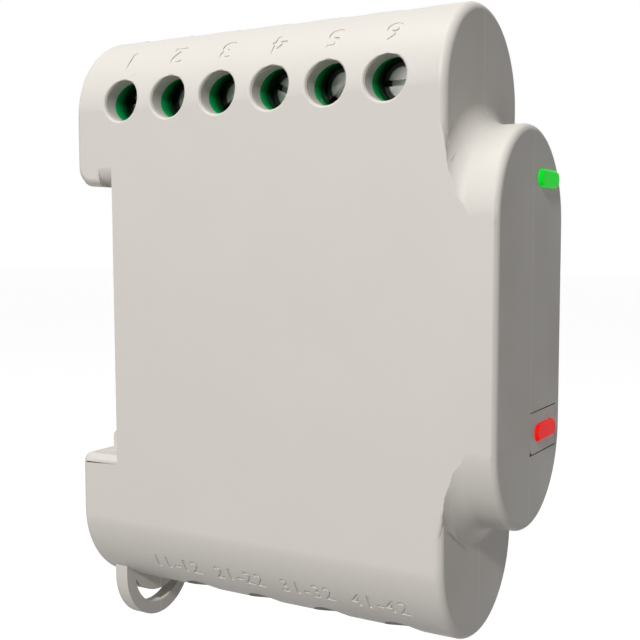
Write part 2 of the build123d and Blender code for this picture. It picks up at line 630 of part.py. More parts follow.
# Clip spring: the sleeve that its coils fill, from the shelf in the lug to the clip's window.
with BuildPart() as clip_spring:
    rod_z(SPRING_BOTTOM, SPRING_TOP, SPRING_RADIUS, 0, SPRING_Y)
    rod_z(SPRING_BOTTOM, SPRING_TOP, SPRING_RADIUS - SPRING_WIRE, 0, SPRING_Y, Mode.SUBTRACT)
save(clip_spring, "clip_spring")
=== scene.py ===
"""Dressed model of a three-phase energy meter on a 35 mm rail.

The file follows the meter as it is put together: right shell, boards and what they carry,
terminals, rail clip, front lights and key, and the numbered left shell that closes it.
"""
import math

import bmesh
import bpy
from mathutils import Matrix, Vector


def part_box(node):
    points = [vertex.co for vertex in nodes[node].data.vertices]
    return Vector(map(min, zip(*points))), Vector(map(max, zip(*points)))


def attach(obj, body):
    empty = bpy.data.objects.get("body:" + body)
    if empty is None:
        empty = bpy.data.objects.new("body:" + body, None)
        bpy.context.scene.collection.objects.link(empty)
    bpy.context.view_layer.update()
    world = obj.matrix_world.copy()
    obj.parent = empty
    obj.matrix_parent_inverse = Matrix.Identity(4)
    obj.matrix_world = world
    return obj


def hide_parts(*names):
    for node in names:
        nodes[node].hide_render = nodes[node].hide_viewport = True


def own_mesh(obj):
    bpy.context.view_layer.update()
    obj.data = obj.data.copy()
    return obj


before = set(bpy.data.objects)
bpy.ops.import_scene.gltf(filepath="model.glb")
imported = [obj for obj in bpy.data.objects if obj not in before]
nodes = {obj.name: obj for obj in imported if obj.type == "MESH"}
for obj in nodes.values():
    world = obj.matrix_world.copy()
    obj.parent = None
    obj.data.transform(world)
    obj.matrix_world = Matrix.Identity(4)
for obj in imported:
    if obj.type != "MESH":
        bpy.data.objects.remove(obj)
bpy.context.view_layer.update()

# Right shell.  Injection moulded in off-white, flame-retardant plastic from a spark-eroded mould,
# so it is matt with a very fine grain.  Posts with pins inside it carry both boards.
SHELL_COLOUR = (0.64, 0.607, 0.561, 1)
ROUND_END, COVE_REACH = 0.011, 0.0136
TOP_CENTRE, BOTTOM_CENTRE = 0.0265, -0.0252
RAISED_TOP, RAISED_BOTTOM = 0.0126, -0.0115
SHOULDER, MID_DEPTH, BACK = -0.0463, -0.02775, 0.0061
WELD_WITHIN = 2e-7


def node(tree, kind, settings=None, *ordered, **named):
    """Adds a node to a tree.  A socket given for an input is linked to it, a value is set on it."""
    made = tree.nodes.new(kind)
    for key, value in (settings or {}).items():
        setattr(made, key, value)
    given = list(enumerate(ordered)) + [(k.replace("_", " "), v) for k, v in named.items()]
    for key, value in given:
        if isinstance(value, bpy.types.NodeSocket):
            tree.links.new(value, made.inputs[key])
        elif value is not None:
            made.inputs[key].default_value = value
    return made


def maths(tree, operation, *values):
    """Result of one sum on values or sockets."""
    return node(tree, "ShaderNodeMath", {"operation": operation}, *values).outputs[0]


def scaled(tree, value, factor):
    """A colour or a vector times a factor."""
    return node(tree, "ShaderNodeVectorMath", {"operation": "SCALE"}, value,
                Scale=factor).outputs[0]


def ramp(tree, value, low, high, start=0.0, end=1.0):
    """Takes a value from low to high as it goes from start to end, and holds it beyond them."""
    return node(tree, "ShaderNodeMapRange", None, value, start, end, low, high).outputs[0]


def noise(tree, place, scale, detail, rough):
    """Cloudy pattern, with so many patches to the metre."""
    return node(tree, "ShaderNodeTexNoise", None, Vector=place, Scale=scale, Detail=detail,
                Roughness=rough).outputs[0]


def node_group(family, name, inputs, outputs):
    """New group of Shader or Geometry nodes, with the sockets for what goes in and comes out."""
    tree = bpy.data.node_groups.new(name, family + "NodeTree")
    for label, kind, value in inputs:
        socket = tree.interface.new_socket(label, in_out="INPUT", socket_type="NodeSocket" + kind)
        if value is not None:
            socket.default_value = value
    for label, kind in outputs:
        tree.interface.new_socket(label, in_out="OUTPUT", socket_type="NodeSocket" + kind)
    return tree, tree.nodes.new("NodeGroupInput").outputs, tree.nodes.new("NodeGroupOutput").inputs


def effect(name, inputs):
    """New shader group that makes a colour, a roughness and a relief from a place."""
    return node_group("Shader", name, [("Vector", "Vector", None)] + inputs,
                      [("Colour", "Color"), ("Roughness", "Float"), ("Height", "Float")])


# Moulded grain: fine sparkle from the mould, cloudy flow marks, a few hairline scuffs, and a
# painted highlight, a thin lighter line of colour along the seam at x = 0.
CLOUD_SCALE, CLOUD_MEAN, PATCH_LOW, PATCH_HIGH = 85.0, 0.5, 0.3, 0.7
SCUFF_START, SCUFF_FULL, SCUFF_SHINE, SCUFF_DEPTH = 0.66, 0.72, 0.06, 0.35
SEAM_HIGHLIGHT_HALF, SEAM_HIGHLIGHT = 6e-5, 0.28
grain, g_in, g_out = effect(
    "Moulded grain and seam highlight",
    [("Colour", "Color", SHELL_COLOUR), ("Grain", "Float", 5200.0), ("Cloud", "Float", 0.05),
     ("Smooth", "Float", 0.42), ("Rough", "Float", 0.56), ("Seam", "Float", 0.0)])
fine = noise(grain, g_in["Vector"], scale=g_in["Grain"], detail=2.0, rough=0.6)
cloud = noise(grain, g_in["Vector"], scale=CLOUD_SCALE, detail=3.0, rough=0.55)
drawn = node(grain, "ShaderNodeMapping", None, Vector=g_in["Vector"], Scale=(30.0, 260.0, 30.0),
             Rotation=(0.5, 0.2, 0.9)).outputs[0]
hair = noise(grain, drawn, scale=9.0, detail=5.0, rough=0.7)
scuff = ramp(grain, hair, 0.0, 1.0, start=SCUFF_START, end=SCUFF_FULL)
shade = maths(grain, "MULTIPLY_ADD", cloud, g_in["Cloud"], 1.0)
shade = maths(grain, "MULTIPLY_ADD", g_in["Cloud"], -CLOUD_MEAN, shade)
# Painted highlight: the colour is made lighter in a thin band along the seam at x = 0.
across = node(grain, "ShaderNodeSeparateXYZ", None, g_in["Vector"]).outputs[0]
seam_highlight = maths(grain, "LESS_THAN", maths(grain, "ABSOLUTE", across), g_in["Seam"])
shade = maths(grain, "MULTIPLY_ADD", seam_highlight, SEAM_HIGHLIGHT, shade)
grain.links.new(scaled(grain, g_in["Colour"], shade), g_out["Colour"])
gloss = ramp(grain, cloud, g_in["Smooth"], g_in["Rough"], start=PATCH_LOW, end=PATCH_HIGH)
grain.links.new(maths(grain, "MULTIPLY_ADD", scuff, -SCUFF_SHINE, gloss), g_out["Roughness"])
grain.links.new(maths(grain, "MULTIPLY_ADD", scuff, -SCUFF_DEPTH, fine), g_out["Height"])


def finish_of(name, group, strength, depth, settings=None, **inputs):
    """Material with a shared effect.  Its relief has a strength to 1 and a depth in metres."""
    material = bpy.data.materials.new(name)
    material.use_nodes = True
    tree = material.node_tree
    shader = tree.nodes["Principled BSDF"]
    place = node(tree, "ShaderNodeTexCoord").outputs["Object"]
    made = node(tree, "ShaderNodeGroup", {"node_tree": group}, Vector=place, **inputs)
    tree.links.new(made.outputs["Colour"], shader.inputs["Base Color"])
    tree.links.new(made.outputs["Roughness"], shader.inputs["Roughness"])
    bump = node(tree, "ShaderNodeBump", None, Strength=strength, Distance=depth,
                Height=made.outputs["Height"])
    tree.links.new(bump.outputs[0], shader.inputs["Normal"])
    for key, value in (settings or {}).items():
        shader.inputs[key].default_value = value
    return material


def added(name, data):
    """New object of the scene that shows a mesh, a lamp or a camera."""
    made = bpy.data.objects.new(name, data)
    bpy.context.scene.collection.objects.link(made)
    return made


def welded(name, source):
    """Copy of a CAD node with its loose triangles joined."""
    mesh = nodes[source].data.copy()
    mesh.name = name
    form = bmesh.new()
    form.from_mesh(mesh)
    bmesh.ops.remove_doubles(form, verts=form.verts, dist=WELD_WITHIN)
    form.to_mesh(mesh)
    form.free()
    return added(name, mesh)


def settled(piece):
    """Turns the result of the piece's modifiers into its plain mesh."""
    shown = piece.evaluated_get(bpy.context.evaluated_depsgraph_get())
    piece.data = bpy.data.meshes.new_from_object(shown)
    piece.modifiers.clear()


def off_middle(place, top, bottom):
    """Way to a place from the middle line of a part with two round ends."""
    return Vector((place.x, 0, place.z - min(max(place.z, bottom), top)))


# The roundings, as shares of the widest one: along the cove, where it fades out towards the flank,
# at the cove's corner with the flank, on the chamfered rims, and round the screw holes.  An edge
# of each kind is known by its place and by the angle that its faces turn, in degrees.
WIDEST_ROUND, ROUND_STEPS = 0.0008, 3
COVE_SHARE, CORNER_SHARE, RIM_SHARE, HOLE_SHARE = 0.75, 0.16, 0.41, 0.45
COVE_TURN, CORNER_TURN, RIM_TURN, HOLE_TURN = (-40, -20), 20, (35, 55), 40
COVE_FADE_END, COVE_FADE = 0.0102, 0.0018
FRONT_RIM, BACK_RIM, HOLES_FROM = 0.0007, 0.0008, -0.009
NEAR, ON_SEAM, ON_FLANK = 6e-5, 2e-6, 2e-5
LEVEL_WITHIN, LEVEL_FACE = 0.4, 0.999


def edge_share(edge):
    """How much of the widest rounding an outer edge of a shell has, by where it lies."""
    if max(abs(v.co.x) for v in edge.verts) < ON_SEAM:
        return 0.0
    turn = math.degrees(edge.calc_face_angle_signed())
    place = (edge.verts[0].co + edge.verts[1].co) / 2
    body = off_middle(place, TOP_CENTRE, BOTTOM_CENTRE).length
    raised = off_middle(place, RAISED_TOP, RAISED_BOTTOM).length
    in_cove = place.y < SHOULDER + NEAR and ROUND_END - NEAR < raised < COVE_REACH + NEAR
    if in_cove and COVE_TURN[0] < turn < COVE_TURN[1]:
        return COVE_SHARE * min(1.0, max(0.0, (COVE_FADE_END - abs(place.x)) / COVE_FADE))
    if in_cove and turn > CORNER_TURN and abs(place.x) > ROUND_END - NEAR:
        return CORNER_SHARE
    rim = body if place.y > SHOULDER - NEAR else raised
    at_end = place.y < SHOULDER + FRONT_RIM or place.y > BACK - BACK_RIM
    if at_end and RIM_TURN[0] < turn < RIM_TURN[1] and rim > ROUND_END - BACK_RIM:
        return RIM_SHARE
    at_hole = turn > HOLE_TURN and body > ROUND_END - NEAR and place.x < HOLES_FROM
    return HOLE_SHARE if at_hole else 0.0


def softened(piece):
    """Rounds the outer edges of a shell, as its mould does."""
    form = bmesh.new()
    form.from_mesh(piece.data)
    inner = [e for e in form.edges if max(abs(v.co.x) for v in e.verts) > ON_SEAM]
    bmesh.ops.dissolve_limit(form, angle_limit=math.radians(LEVEL_WITHIN), verts=form.verts,
                             edges=inner)
    flanks = [part for part in [*form.faces, *form.edges]
              if min(abs(v.co.x) for v in part.verts) > ROUND_END - ON_FLANK]
    bmesh.ops.bisect_plane(form, geom=flanks, plane_co=(0, MID_DEPTH, 0), plane_no=(0, 1, 0))
    weight = form.edges.layers.float.new("bevel_weight_edge")
    for edge in form.edges:
        if len(edge.link_faces) == 2:
            edge[weight] = edge_share(edge)
    ends = {v for e in form.edges if e[weight] > 0 for v in e.verts if abs(v.co.x) < ON_SEAM}
    spokes = [e for e in form.edges if any(v in ends for v in e.verts)
              and all(abs(f.normal.x) > LEVEL_FACE for f in e.link_faces)]
    bmesh.ops.dissolve_edges(form, edges=spokes, use_verts=False)
    form.to_mesh(piece.data)
    form.free()
    bevel = piece.modifiers.new("Round", "BEVEL")
    bevel.limit_method = "WEIGHT"
    bevel.width = WIDEST_ROUND
    bevel.segments = ROUND_STEPS
    bevel.use_clamp_overlap = False
    settled(piece)


def shaded(piece, crease=28.0):
    """Smooth shading inside sharp edges, with flat faces kept flat."""
    mesh = piece.data
    form = bmesh.new()
    form.from_mesh(mesh)
    for face in form.faces:
        face.smooth = True
    for edge in form.edges:
        edge.smooth = len(edge.link_faces) == 2 and edge.calc_face_angle() < math.radians(crease)
    form.to_mesh(mesh)
    form.free()
    piece.modifiers.new("Level", "WEIGHTED_NORMAL").keep_sharp = True
    settled(piece)


# Where the shading follows the true curve: how far a corner may lie from the cove or the round
# end, and how closely its face has to look the same way, as the cosine of the angle between them.
COVE_SPARE, COVE_DEPTH, COVE_OVER, COVE_ALIKE = 0.0007, 0.0033, 3e-5, 0.9
END_SPARE, END_ALIKE, RAISED_FROM = 4e-5, 0.994, 0.0001
FLAT = 0.9999


def true_way(place, face):
    """Direction of the true curve at a corner of a face, or none where it has no curve."""
    raised = off_middle(place, RAISED_TOP, RAISED_BOTTOM)
    cove = raised.normalized() * max(COVE_REACH - raised.length, 0.0)
    cove.y = min(SHOULDER + ROUND_END - COVE_REACH - place.y, 0.0)
    cove.normalize()
    curved = max(abs(face.normal.x), abs(face.normal.y)) <= FLAT
    in_cove = (raised.length < COVE_REACH + COVE_SPARE
               and SHOULDER - COVE_DEPTH < place.y < SHOULDER + COVE_OVER)
    if curved and in_cove and face.normal.dot(cove) > COVE_ALIKE:
        return cove
    out = (raised if place.y < SHOULDER - RAISED_FROM
           else off_middle(place, TOP_CENTRE, BOTTOM_CENTRE))
    off_end = abs(out.length - ROUND_END)
    out.normalize()
    if off_end < END_SPARE and face.normal.dot(out) > END_ALIKE:
        on_flank = abs(place.x) > ROUND_END - ON_FLANK
        return Vector((math.copysign(1, place.x), 0, 0)) if on_flank else out
    return None


def rounded(piece):
    """Gives the corners on the shells' round ends and coves the direction of the true curve."""
    mesh = piece.data
    normals = [n.vector.copy() for n in mesh.corner_normals]
    for face in mesh.polygons:
        for corner in face.loop_indices:
            way = true_way(mesh.vertices[mesh.loops[corner].vertex_index].co, face)
            if way is not None:
                normals[corner] = way
    mesh.normals_split_custom_set(normals)


def dress(piece, material, body):
    """Puts the material on a new piece and fixes it to its body."""
    piece.data.materials.clear()
    piece.data.materials.append(material)
    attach(piece, body)


# The housing plastic carries the painted highlight along its seam.
shell_plastic = finish_of("Housing plastic", grain, strength=0.35, depth=1.2e-5,
                          settings={"Specular IOR Level": 0.25}, Seam=SEAM_HIGHLIGHT_HALF)
right_shell = welded("right_shell_moulding", "right_shell")
softened(right_shell)
shaded(right_shell)
rounded(right_shell)
dress(right_shell, shell_plastic, "housing")
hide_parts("right_shell")

# Both circuit boards.  Glass-fibre laminate under green lacquer, with copper runs that show through
# it as lighter lines.  The main board sits on the right shell's pins.
RUN_EDGE, RUN_GAP, WEAVE_DEPTH = 0.06, 0.1, 0.15
MIX_COLOUR, MIX_OTHER, MIX_RESULT = 6, 7, 2
lacquer, l_in, l_out = effect(
    "Lacquered laminate",
    [("Colour", "Color", (0.02, 0.12, 0.05, 1)), ("Run", "Color", (0.05, 0.26, 0.1, 1)),
     ("Pitch", "Float", 420.0)])
cells = node(lacquer, "ShaderNodeTexVoronoi", {"feature": "DISTANCE_TO_EDGE"},
             Vector=l_in["Vector"], Scale=l_in["Pitch"]).outputs[0]
run = ramp(lacquer, cells, 1.0, 0.0, start=RUN_EDGE, end=RUN_GAP)
weave = node(lacquer, "ShaderNodeTexWave", None, Vector=l_in["Vector"], Scale=900.0,
             Distortion=1.5).outputs["Fac"]
shown = node(lacquer, "ShaderNodeMix", {"data_type": "RGBA"}, run)
lacquer.links.new(l_in["Colour"], shown.inputs[MIX_COLOUR])
lacquer.links.new(l_in["Run"], shown.inputs[MIX_OTHER])
lacquer.links.new(shown.outputs[MIX_RESULT], l_out["Colour"])
lacquer.links.new(ramp(lacquer, weave, low=0.22, high=0.34), l_out["Roughness"])
lacquer.links.new(maths(lacquer, "MULTIPLY_ADD", weave, WEAVE_DEPTH, run), l_out["Height"])
board = finish_of("Board", lacquer, strength=0.3, depth=3e-5,
                  settings={"Coat Weight": 0.3, "Coat Roughness": 0.1})


def paint(material, *names):
    """Puts a material on CAD nodes that keep their own shape."""
    for name in names:
        nodes[name].material_slots[0].material = material


paint(board, "main_board", "logic_board")

# Parts in black moulded plastic: header, relay base, transformer foot, chips, sockets, rectifier
# and the reset switch.  Glass-filled, so they are duller and coarser than the shell.
black_plastic = finish_of("Black plastic", grain, strength=0.3, depth=1e-5,
                          settings={"Specular IOR Level": 0.4}, Colour=(0.018, 0.018, 0.02, 1),
                          Grain=4200.0, Cloud=0.3, Smooth=0.4, Rough=0.6)
paint(black_plastic, "header_strip", "header_socket", "relay_base", "transformer_foot",
      "metering_chip", "rectifier", "divider_resistors", "reset_switch", "switch_plunger",
      *[f"sensor_socket_{n}" for n in range(1, 5)])

# Pins, radio shield and crystal can.  Plated brass and deep-drawn steel sheet, soldered to the
# boards: drawing leaves fine parallel lines, and handling a slightly uneven shine.
STAIN_MEAN = 0.7
worked, w_in, w_out = effect(
    "Worked metal",
    [("Colour", "Color", (0.6, 0.6, 0.6, 1)), ("Lines", "Vector", (9000.0, 400.0, 400.0)),
     ("Smooth", "Float", 0.22), ("Rough", "Float", 0.42), ("Dull", "Float", 0.25)])
lines = node(worked, "ShaderNodeVectorMath", {"operation": "MULTIPLY"}, w_in["Vector"],
             w_in["Lines"]).outputs[0]
stain = noise(worked, w_in["Vector"], scale=520.0, detail=4.0, rough=0.6)
keep = maths(worked, "MULTIPLY_ADD", stain, w_in["Dull"], 1.0)
keep = maths(worked, "MULTIPLY_ADD", w_in["Dull"], -STAIN_MEAN, keep)
worked.links.new(scaled(worked, w_in["Colour"], keep), w_out["Colour"])
gloss = ramp(worked, stain, w_in["Smooth"], w_in["Rough"], start=PATCH_LOW, end=PATCH_HIGH)
worked.links.new(gloss, w_out["Roughness"])
worked.links.new(noise(worked, lines, scale=1.0, detail=3.0, rough=0.6), w_out["Height"])
pin_metal = finish_of("Pin metal", worked, strength=0.2, depth=8e-6, settings={"Metallic": 1.0},
                      Colour=(0.62, 0.52, 0.3, 1), Smooth=0.18, Rough=0.34)
shield_metal = finish_of("Shield metal", worked, strength=0.25, depth=8e-6,
                         settings={"Metallic": 1.0}, Colour=(0.62, 0.63, 0.64, 1),
                         Lines=(400.0, 9000.0, 400.0))
paint(pin_metal, "socket_pins", "header_pins", "relay_pins")
paint(shield_metal, "radio_shield", "crystal")

# Output relay.  A thin blue plastic cover over a copper coil, an iron yoke and a hinged armature;
# the contacts are brass springs, of the same strip as the bars of the terminals.
relay_cover = finish_of("Relay cover", grain, strength=0.2, depth=8e-6,
                        settings={"Coat Weight": 0.2}, Colour=(0.012, 0.05, 0.22, 1), Grain=3000.0,
                        Cloud=0.15, Smooth=0.18, Rough=0.3)
relay_steel = finish_of("Relay steel", worked, strength=0.3, depth=8e-6,
                        settings={"Metallic": 1.0}, Colour=(0.42, 0.42, 0.43, 1), Smooth=0.28,
                        Rough=0.5)
bar_brass = finish_of("Bar brass", worked, strength=0.25, depth=8e-6, settings={"Metallic": 1.0},
                      Colour=(0.66, 0.46, 0.17, 1), Lines=(400.0, 400.0, 9000.0))
paint(relay_cover, "relay_case")
paint(relay_steel, "relay_yoke", "relay_armature")
paint(bar_brass, "relay_contacts", "contact_bars")

# Windings of the relay and the supply transformer: enamelled copper wire laid in close turns,
# which show as fine ribs around the bobbin.
turns, t_in, t_out = effect(
    "Wound wire", [("Colour", "Color", (0.33, 0.09, 0.02, 1)), ("Pitch", "Float", 1700.0)])
rib = node(turns, "ShaderNodeTexWave", {"bands_direction": "X"}, Vector=t_in["Vector"],
           Scale=t_in["Pitch"], Distortion=0.4).outputs["Fac"]
# Painted shade and highlight: the colour is darker in the grooves between turns, lighter on their
# crowns.
turns.links.new(scaled(turns, t_in["Colour"], ramp(turns, rib, low=0.45, high=1.1)),
                t_out["Colour"])
turns.links.new(ramp(turns, rib, low=0.38, high=0.24), t_out["Roughness"])
turns.links.new(rib, t_out["Height"])
winding = finish_of("Winding", turns, strength=0.7, depth=6e-5, settings={"Coat Weight": 0.4})
paint(winding, "relay_coil", "transformer_winding")

# Power parts of the main board: pressed ferrite cores, sleeved capacitors, varistors dipped in blue
# resin and fusible resistors in grey lacquer.  The two front lights are cast in clear resin.
ferrite = finish_of("Ferrite", grain, strength=0.5, depth=2e-5, Colour=(0.03, 0.03, 0.034, 1),
                    Grain=2600.0, Cloud=0.5, Smooth=0.6, Rough=0.8)
sleeving = finish_of("Capacitor sleeve", grain, strength=0.15, depth=8e-6,
                     settings={"Coat Weight": 0.4}, Colour=(0.018, 0.02, 0.05, 1), Grain=1500.0,
                     Cloud=0.2, Smooth=0.2, Rough=0.32)
resin = finish_of("Varistor resin", grain, strength=0.5, depth=4e-5, settings={"Coat Weight": 0.3},
                  Colour=(0.02, 0.08, 0.34, 1), Grain=900.0, Cloud=0.25, Smooth=0.22, Rough=0.36)
lacquered = finish_of("Resistor lacquer", grain, strength=0.4, depth=3e-5,
                      Colour=(0.2, 0.3, 0.33, 1), Grain=1400.0, Cloud=0.2, Smooth=0.4, Rough=0.55)
clear = finish_of("Light body", grain, strength=0.1, depth=6e-6, settings={"Coat Weight": 0.3},
                  Colour=(0.8, 0.78, 0.66, 1), Grain=2000.0, Smooth=0.15, Rough=0.25)
paint(ferrite, "transformer_core", "choke")
paint(sleeving, "capacitors")
paint(resin, "varistors")
paint(lacquered, "fusible_resistors")
paint(clear, "front_leds")

# Terminal block.  One green moulding, duller than the shell, with six funnels on top and a round
# seat in front of each screw.  Shade is painted into the seats, darker towards the screws; the
# chambers get none.
SEAT_LIT, SEAT_DARK, SEAT_SHADE, CHAMBER = -0.0086, -0.0068, 0.02, -0.0052
terminal_green = finish_of("Terminal green", grain, strength=0.25, depth=1e-5,
                           settings={"Specular IOR Level": 0.04}, Colour=(0.001, 0.5, 0.12, 1),
                           Grain=4200.0, Cloud=0.16, Smooth=0.4, Rough=0.54)


def place_in(tree):
    """The X, Y and Z of the place that a material is at."""
    place = node(tree, "ShaderNodeTexCoord").outputs["Object"]
    return node(tree, "ShaderNodeSeparateXYZ", None, place).outputs


def dimmed(material, mask):
    """Paints shade into a material's colour by darkening it with a mask."""
    tree = material.node_tree
    base = tree.nodes["Principled BSDF"].inputs["Base Color"]
    tree.links.new(scaled(tree, base.links[0].from_socket, mask), base)


tree = terminal_green.node_tree
across = place_in(tree)[0]
# Painted shade: the seats' colour darkens deeper in, towards the screws; the chambers keep theirs.
painted_seat_shade = ramp(tree, across, 1.0, SEAT_SHADE, start=SEAT_LIT, end=SEAT_DARK)
dimmed(terminal_green, maths(tree, "MAXIMUM", painted_seat_shade, maths(tree, "GREATER_THAN", across, CHAMBER)))
terminal_block = welded("terminal_block_moulding", "terminal_block")
shaded(terminal_block)
dress(terminal_block, terminal_green, "housing")
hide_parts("terminal_block")

# Terminal screws.  Nickel-plated steel, each with one slot sawn across its flat round head, whose
# rim is darkened with painted shade.  The cage that each one lifts is bent from thinner strip.
FIRST_POLE, POLE_PITCH, POLE_HEIGHT = -0.0015, -0.0075, 0.0283
POLE_PLACES = [FIRST_POLE + POLE_PITCH * pole for pole in range(6)]
SLOT_ANGLES = (18, 70, -35, 25, 138, 0)
HEAD_LIT, HEAD_DARK, HEAD_SHADE, HEAD_CREASE = 0.00165, 0.00185, 0.09, 32.0
screw_steel = finish_of("Screw steel", worked, strength=0.35, depth=8e-6,
                        settings={"Metallic": 1.0}, Colour=(0.66, 0.655, 0.635, 1),
                        Lines=(500.0, 5200.0, 5200.0), Smooth=0.26, Rough=0.42, Dull=0.3)
clamp_steel = finish_of("Clamp steel", worked, strength=0.3, depth=8e-6,
                        settings={"Metallic": 1.0}, Colour=(0.6, 0.57, 0.52, 1),
                        Lines=(500.0, 500.0, 7000.0), Smooth=0.25, Rough=0.45)
# Painted shade: each head's colour darkens outwards from its middle, towards its rim.
tree = screw_steel.node_tree
place = place_in(tree)
side = maths(tree, "WRAP", place[1], FIRST_POLE - POLE_PITCH / 2, FIRST_POLE + POLE_PITCH / 2)
out = node(tree, "ShaderNodeCombineXYZ", None, maths(tree, "SUBTRACT", side, FIRST_POLE),
           maths(tree, "SUBTRACT", place[2], POLE_HEIGHT), 0.0).outputs[0]
out = node(tree, "ShaderNodeVectorMath", {"operation": "LENGTH"}, out).outputs["Value"]
dimmed(screw_steel, ramp(tree, out, 1.0, HEAD_SHADE, start=HEAD_LIT, end=HEAD_DARK))
for number, (along, angle) in enumerate(zip(POLE_PLACES, SLOT_ANGLES), 1):
    screw = welded(f"screw_{number}_turned", f"terminal_screw_{number}")
    middle = Vector((0, along, POLE_HEIGHT))
    screw.data.transform(Matrix.Translation(middle) @ Matrix.Rotation(math.radians(angle), 4, "X")
                         @ Matrix.Translation(-middle))
    shaded(screw, HEAD_CREASE)
    dress(screw, screw_steel, f"screw_{number}")
    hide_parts(f"terminal_screw_{number}")
    paint(clamp_steel, f"wire_clamp_{number}")

# Rail clip.  A flat slider in the shell's own plastic; its loop is pulled down with a screwdriver
# to let the rail go.
rail_clip = welded("rail_clip_moulding", "rail_clip")
shaded(rail_clip)
dress(rail_clip, shell_plastic, "clip")
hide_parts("rail_clip")

# Clip spring.  Wound from hard round wire between the shelf in the lug and the clip's window.  It
# is made at one length and stays with the housing.
WIRE, COIL_RADIUS, COIL_LENGTH, COIL_TURNS = 0.00045, 0.001495, 0.00874, 8.0
COIL_STEPS, WIRE_SIDES, COIL_LIFT, CLIP_TRAVEL = 22, 10, 0.000235, 0.003
coil, c_in, c_out = node_group(
    "Geometry", "Coil spring",
    [("Wire", "Float", WIRE), ("Radius", "Float", COIL_RADIUS), ("Length", "Float", COIL_LENGTH),
     ("Turns", "Float", COIL_TURNS), ("Material", "Material", None)],
    [("Geometry", "Geometry")])
line = node(coil, "GeometryNodeCurveSpiral", None, Resolution=COIL_STEPS, Rotations=c_in["Turns"],
            Start_Radius=c_in["Radius"], End_Radius=c_in["Radius"], Height=c_in["Length"])
ring = node(coil, "GeometryNodeCurvePrimitiveCircle", None, Resolution=WIRE_SIDES,
            Radius=maths(coil, "MULTIPLY", c_in["Wire"], 0.5))
wire = node(coil, "GeometryNodeCurveToMesh", None, Curve=line.outputs[0],
            Profile_Curve=ring.outputs[0], Fill_Caps=True)


def ended(tree, form, material, out):
    """Ends a tree of Geometry Nodes: its form made plain, in its material."""
    real = node(tree, "GeometryNodeRealizeInstances", None, form)
    coated = node(tree, "GeometryNodeSetMaterial", None, real.outputs[0], Material=material)
    tree.links.new(coated.outputs[0], out)


def made_by(tree, piece, material):
    """Runs a tree of Geometry Nodes on a piece, in a material, and keeps what it makes."""
    maker = piece.modifiers.new(tree.name, "NODES")
    maker.node_group = tree
    chosen = next(s.identifier for s in tree.interface.items_tree
                  if s.name == "Material" and s.in_out == "INPUT")
    maker[chosen] = material
    settled(piece)


ended(coil, wire.outputs[0], c_in["Material"], c_out[0])
spring_steel = finish_of("Spring steel", worked, strength=0.2, depth=8e-6,
                         settings={"Metallic": 1.0}, Colour=(0.5, 0.5, 0.52, 1), Smooth=0.18,
                         Rough=0.34)
low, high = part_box("clip_spring")
spring = added("clip_spring_coil", bpy.data.meshes.new("clip_spring_coil"))
made_by(coil, spring, spring_steel)
spring.data.transform(Matrix.Translation(((low.x + high.x) / 2, (low.y + high.y) / 2,
                                          low.z + COIL_LIFT)))
for face in spring.data.polygons:
    face.use_smooth = True
dress(spring, spring_steel, "housing")
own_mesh(spring)
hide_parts("clip_spring")

# Front lights.  Two clear mouldings tinted green and red, softly matt on the face, each lit from
# behind by its own light on the board's edge.
GREEN_TINT, GREEN_GLOW = (0.001, 0.5, 0.02, 1), (0.0, 0.8, 0.02)
RED_TINT, RED_GLOW = (0.6, 0.006, 0.004, 1), (0.9, 0.012, 0.01)
GLOW, MILK_SCALE, MILK_LOW, MILK_HIGH = 0.5, 700.0, 0.85, 1.1


def lens_of(name, tint, glow):
    """Tinted plastic that is a little lighter where the light behind it reaches."""
    material = finish_of(name, grain, strength=0.08, depth=6e-6,
                         settings={"Specular IOR Level": 0.02, "Emission Strength": GLOW},
                         Colour=tint, Grain=2400.0, Cloud=0.1, Smooth=0.26, Rough=0.36)
    tree = material.node_tree
    place = node(tree, "ShaderNodeTexCoord").outputs["Object"]
    milk = noise(tree, place, scale=MILK_SCALE, detail=2.0, rough=0.5)
    milk = ramp(tree, milk, MILK_LOW, MILK_HIGH)
    tree.links.new(scaled(tree, glow, milk),
                   tree.nodes["Principled BSDF"].inputs["Emission Color"])
    return material


lens_green = lens_of("Green lens", GREEN_TINT, GREEN_GLOW)
lens_red = lens_of("Red lens", RED_TINT, RED_GLOW)
for source, material, body, slot in (("light_pipe", lens_green, "housing", "lens_green"),
                                     ("key_lens", lens_red, "key", "lens_red")):
    lens = welded(source + "_moulding", source)
    shaded(lens)
    dress(lens, material, body)
    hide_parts(source)

# Reset key.  Moulded in the shell's plastic and snapped in behind the wall by its flange, so only
# its plate shows, level with the front.
reset_key = welded("reset_key_moulding", "reset_key")
shaded(reset_key)
dress(reset_key, shell_plastic, "key")
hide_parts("reset_key")

# Left shell.  Closes the meter.  The mould leaves plain numbers sunk in it: one over each screw
# hole, upside down in use, and a pair of them beside each sensor socket.
SOCKET_PLACES = [-0.00852 - 0.00981 * socket for socket in range(4)]
HOLE_SLOPE, SOCKET_SLOPE = math.radians(40.9), math.radians(-33.1)
OUTLINE_POINTS, FIGURE_SPACING, FIGURE_WELD = 28, 1.1, 1e-7
engraved, e_in, e_out = node_group(
    "Geometry", "Sunk figures",
    [("Body", "Geometry", None), ("Hole figure", "Float", 0.0043),
     ("Socket figure", "Float", 0.003), ("Depth", "Float", 0.00016), ("Stroke", "Float", 7e-5),
     ("Material", "Material", None)],
    [("Body", "Geometry")])
tools = engraved.nodes.new("GeometryNodeJoinGeometry")
plain_font = bpy.data.fonts.load("<builtin>")


